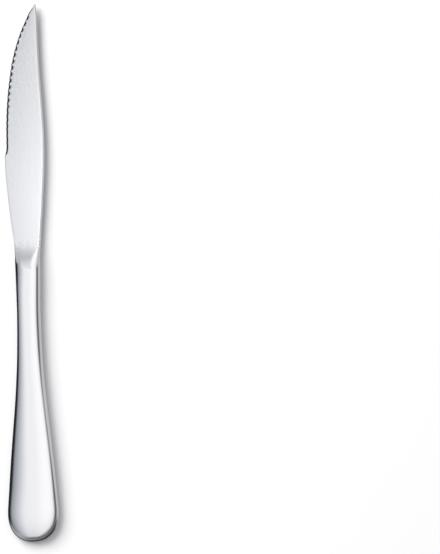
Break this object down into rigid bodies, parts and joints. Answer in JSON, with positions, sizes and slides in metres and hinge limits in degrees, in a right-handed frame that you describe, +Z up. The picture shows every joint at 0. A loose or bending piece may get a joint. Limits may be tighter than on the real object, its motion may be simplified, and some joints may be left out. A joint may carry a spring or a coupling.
{
  "type": "steak knife",
  "caption": "All-steel steak knife with a serrated satin blade, a scooped shoulder and a mirror-polished hollow handle that widens to a rounded butt.",
  "frame": {"origin": "centre of the bounding box, on the surface that the knife lies on with its serrated face up", "axes": "+X along the knife to the point, +Y to the side of the cutting edge, +Z up out of the serrated face"},
  "size_m": [0.23, 0.0212, 0.0055],
  "materials": {
    "blade_steel": "satin ground stainless steel",
    "handle_steel": "mirror polished stainless steel",
    "fill": "hard resin cement"
  },
  "bodies": {
    "root": {"blade": "blade_steel", "handle_front_shell": "handle_steel", "handle_back_shell": "handle_steel", "tang_fill": "fill"}
  },
  "joints": []
}
